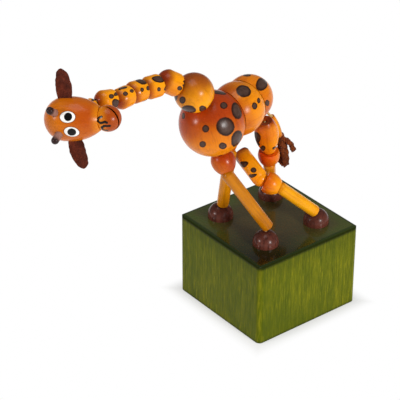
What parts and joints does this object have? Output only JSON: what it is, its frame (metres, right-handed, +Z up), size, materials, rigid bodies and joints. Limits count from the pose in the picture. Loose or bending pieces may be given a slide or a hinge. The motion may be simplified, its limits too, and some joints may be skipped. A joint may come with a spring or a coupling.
{
  "type": "push puppet",
  "caption": "Slumped giraffe push puppet: strung wooden beads, spotted body, long beaded neck and turned head on a hollow green base with a spring-loaded push button underneath",
  "frame": {"origin": "centre of the square base at its underside", "axes": "+Z up, the giraffe faces -Y over the front hooves, its left side is +X"},
  "size_m": [0.05, 0.1305, 0.1318],
  "materials": {
    "base_wood": "green stain and clear lacquer, brown on top",
    "button_wood": "bare turned wood",
    "spring_steel": "plain drawn wire",
    "tuft_cord": "twisted cord",
    "string": "braided string",
    "hoof_wood": "brown stain, gloss lacquer",
    "stick_wood": "yellow-orange stain, gloss lacquer",
    "joint_wood": "orange stain with a sprayed red shade, gloss lacquer",
    "horn_wood": "brown paint, dark at the tip",
    "ear_leather": "soft, matt",
    "head_wood": "yellow-orange stain with painted face, gloss lacquer",
    "bead_wood": "yellow-orange stain with painted brown spots, gloss lacquer"
  },
  "bodies": {
    "base": {"base_block": "base_wood", "base_strings": "string", "front_left_hoof": "hoof_wood", "front_right_hoof": "hoof_wood", "rear_left_hoof": "hoof_wood", "rear_right_hoof": "hoof_wood"},
    "button": {"push_button": "button_wood", "string_knots": "string", "return_spring": "spring_steel"},
    "chest": {"chest_ball": "bead_wood", "chest_strings": "string"},
    "belly": {"belly_ball": "bead_wood", "belly_string": "string"},
    "rump": {"rump_ball": "bead_wood", "rump_string": "string"},
    "tail": {"tail_rod": "stick_wood", "tail_string": "string", "tail_tuft": "tuft_cord"},
    "neck_ball": {"neck_ball": "bead_wood", "neck_ball_string": "string"},
    "head": {"head": "head_wood", "left_horn": "horn_wood", "right_horn": "horn_wood", "left_ear": "ear_leather", "right_ear": "ear_leather"},
    "front_left_stick": {"front_left_stick": "stick_wood", "front_left_stick_string": "string"},
    "front_right_stick": {"front_right_stick": "stick_wood", "front_right_stick_string": "string"},
    "rear_left_stick": {"rear_left_stick": "stick_wood", "rear_left_stick_string": "string"},
    "rear_right_stick": {"rear_right_stick": "stick_wood", "rear_right_stick_string": "string"},
    "front_left_shoulder": {"front_left_shoulder": "joint_wood", "front_left_shoulder_string": "string"},
    "front_right_shoulder": {"front_right_shoulder": "joint_wood", "front_right_shoulder_string": "string"},
    "rear_left_knee": {"rear_left_knee": "joint_wood", "rear_left_knee_string": "string"},
    "rear_left_thigh": {"rear_left_thigh": "bead_wood", "rear_left_thigh_string": "string"},
    "rear_right_knee": {"rear_right_knee": "joint_wood", "rear_right_knee_string": "string"},
    "rear_right_thigh": {"rear_right_thigh": "bead_wood", "rear_right_thigh_string": "string"},
    "neck_bead_1": {"neck_bead_1": "bead_wood", "neck_string_1": "string"},
    "neck_bead_2": {"neck_bead_2": "bead_wood", "neck_string_2": "string"},
    "neck_bead_3": {"neck_bead_3": "bead_wood", "neck_string_3": "string"},
    "neck_bead_4": {"neck_bead_4": "bead_wood", "neck_string_4": "string"},
    "neck_bead_5": {"neck_bead_5": "bead_wood", "neck_string_5": "string"},
    "neck_bead_6": {"neck_bead_6": "bead_wood", "neck_string_6": "string"}
  },
  "joints": [
    {"name": "front_left_stick_tilt", "type": "hinge", "parent": "base", "child": "front_left_stick", "pos_m": [0.01171, -0.01348, 0.04373], "axis": [-0.8885, 0.3245, -0.3245], "range_deg": [0, 30.57]},
    {"name": "front_right_stick_tilt", "type": "hinge", "parent": "base", "child": "front_right_stick", "pos_m": [-0.01294, -0.01581, 0.04083], "axis": [-0.0673, -0.3283, 0.9422], "range_deg": [0, 31.35]},
    {"name": "rear_left_stick_tilt", "type": "hinge", "parent": "base", "child": "rear_left_stick", "pos_m": [0.0129, 0.01165, 0.0409], "axis": [-0.5596, -0.3017, 0.7719], "range_deg": [0, 90.12]},
    {"name": "rear_right_stick_tilt", "type": "hinge", "parent": "base", "child": "rear_right_stick", "pos_m": [-0.01367, 0.01037, 0.04097], "axis": [0.0772, -0.2994, 0.951], "range_deg": [0, 92.98]},
    {"name": "front_left_shoulder_tilt", "type": "hinge", "parent": "front_left_stick", "child": "front_left_shoulder", "pos_m": [0.00574, -0.02504, 0.06667], "axis": [0.6948, 0.5165, 0.5005], "range_deg": [0, 35.39]},
    {"name": "front_right_shoulder_tilt", "type": "hinge", "parent": "front_right_stick", "child": "front_right_shoulder", "pos_m": [-0.00387, -0.01693, 0.06881], "axis": [0.0076, 0.9921, 0.1249], "range_deg": [0, 34.86]},
    {"name": "rear_left_knee_tilt", "type": "hinge", "parent": "rear_left_stick", "child": "rear_left_knee", "pos_m": [0.01067, -0.00211, 0.05486], "axis": [-0.2179, 0.711, 0.6685], "range_deg": [0, 36.7]},
    {"name": "rear_left_thigh_tilt", "type": "hinge", "parent": "rear_left_knee", "child": "rear_left_thigh", "pos_m": [0.00349, -0.00771, 0.05848], "axis": [0.502, -0.0863, 0.8605], "range_deg": [0, 32.44]},
    {"name": "rear_right_knee_tilt", "type": "hinge", "parent": "rear_right_stick", "child": "rear_right_knee", "pos_m": [-0.00416, 0.00324, 0.05677], "axis": [0.6093, 0.7901, 0.0679], "range_deg": [0, 21.67]},
    {"name": "rear_right_thigh_tilt", "type": "hinge", "parent": "rear_right_knee", "child": "rear_right_thigh", "pos_m": [-0.00309, 0.00159, 0.06637], "axis": [-0.9067, 0.387, 0.168], "range_deg": [0, 3.75]},
    {"name": "chest_tilt", "type": "hinge", "parent": "front_left_shoulder", "child": "chest", "pos_m": [0.00194, -0.02491, 0.07181], "axis": [-0.1992, -0.9552, -0.2191], "range_deg": [0, 55.39]},
    {"name": "belly_tilt", "type": "hinge", "parent": "chest", "child": "belly", "pos_m": [0.0005, -0.02907, 0.08859], "axis": [0.9923, 0.087, 0.0881], "range_deg": [0, 6.32]},
    {"name": "rump_tilt", "type": "hinge", "parent": "belly", "child": "rump", "pos_m": [-0.00076, -0.01589, 0.08987], "axis": [-0.1159, 0.1416, -0.9831], "range_deg": [0, 11.79]},
    {"name": "neck_base_tilt", "type": "hinge", "parent": "chest", "child": "neck_ball", "pos_m": [0.0005, -0.02907, 0.08859], "axis": [0.6364, 0.6849, 0.3549], "range_deg": [0, 27.15]},
    {"name": "neck_1_tilt", "type": "hinge", "parent": "neck_ball", "child": "neck_bead_1", "pos_m": [0.00147, -0.03827, 0.10461], "axis": [-0.7503, 0.6555, -0.0857], "range_deg": [0, 40.08]},
    {"name": "neck_2_tilt", "type": "hinge", "parent": "neck_bead_1", "child": "neck_bead_2", "pos_m": [-0.00134, -0.04747, 0.11074], "axis": [-0.7903, 0.3366, -0.5119], "range_deg": [0, 40.43]},
    {"name": "neck_3_tilt", "type": "hinge", "parent": "neck_bead_2", "child": "neck_bead_3", "pos_m": [-0.00141, -0.05526, 0.11108], "axis": [0.0338, 0.746, -0.6651], "range_deg": [0, 17.44]},
    {"name": "neck_4_tilt", "type": "hinge", "parent": "neck_bead_3", "child": "neck_bead_4", "pos_m": [-0.0004, -0.06293, 0.11203], "axis": [-0.2437, 0.6722, -0.6992], "range_deg": [0, 17.98]},
    {"name": "neck_5_tilt", "type": "hinge", "parent": "neck_bead_4", "child": "neck_bead_5", "pos_m": [0.00187, -0.07035, 0.11291], "axis": [0.0984, 0.8393, 0.5348], "range_deg": [0, 20.26]},
    {"name": "neck_6_tilt", "type": "hinge", "parent": "neck_bead_5", "child": "neck_bead_6", "pos_m": [0.00207, -0.07797, 0.11454], "axis": [-0.9054, 0.4064, 0.1226], "range_deg": [0, 30.85]},
    {"name": "head_nod", "type": "hinge", "parent": "neck_bead_6", "child": "head", "pos_m": [0.00154, -0.08545, 0.11239], "axis": [0.6126, 0.4434, -0.6543], "range_deg": [0, 39.45]},
    {"name": "tail_swing", "type": "hinge", "parent": "rump", "child": "tail", "pos_m": [-0.00404, -0.0019, 0.08504], "axis": [0.9816, 0.1908, 0], "range_deg": [0, 50]},
    {"name": "button_slide", "type": "slide", "parent": "base", "child": "button", "axis": [0, 0, -1], "range_m": [0, 0.00701], "deforming": ["return_spring"]}
  ],
  "couplings": [
    {"joint": "front_right_stick_tilt", "follows": "front_left_stick_tilt", "ratio": 1.0252},
    {"joint": "rear_left_stick_tilt", "follows": "front_left_stick_tilt", "ratio": 2.9476},
    {"joint": "rear_right_stick_tilt", "follows": "front_left_stick_tilt", "ratio": 3.0413},
    {"joint": "front_left_shoulder_tilt", "follows": "front_left_stick_tilt", "ratio": 1.1574},
    {"joint": "front_right_shoulder_tilt", "follows": "front_left_stick_tilt", "ratio": 1.1399},
    {"joint": "rear_left_knee_tilt", "follows": "front_left_stick_tilt", "ratio": 1.2001},
    {"joint": "rear_left_thigh_tilt", "follows": "front_left_stick_tilt", "ratio": 1.061},
    {"joint": "rear_right_knee_tilt", "follows": "front_left_stick_tilt", "ratio": 0.70848},
    {"joint": "rear_right_thigh_tilt", "follows": "front_left_stick_tilt", "ratio": 0.12218},
    {"joint": "chest_tilt", "follows": "front_left_stick_tilt", "ratio": 1.8115},
    {"joint": "belly_tilt", "follows": "front_left_stick_tilt", "ratio": 0.20657},
    {"joint": "rump_tilt", "follows": "front_left_stick_tilt", "ratio": 0.38537},
    {"joint": "neck_base_tilt", "follows": "front_left_stick_tilt", "ratio": 0.88793},
    {"joint": "neck_1_tilt", "follows": "front_left_stick_tilt", "ratio": 1.3107},
    {"joint": "neck_2_tilt", "follows": "front_left_stick_tilt", "ratio": 1.3223},
    {"joint": "neck_3_tilt", "follows": "front_left_stick_tilt", "ratio": 0.57015},
    {"joint": "neck_4_tilt", "follows": "front_left_stick_tilt", "ratio": 0.5879},
    {"joint": "neck_5_tilt", "follows": "front_left_stick_tilt", "ratio": 0.66244},
    {"joint": "neck_6_tilt", "follows": "front_left_stick_tilt", "ratio": 1.0088},
    {"joint": "head_nod", "follows": "front_left_stick_tilt", "ratio": 1.2901},
    {"joint": "button_slide", "follows": "front_left_stick_tilt", "m_per_rad": 0.01312}
  ]
}
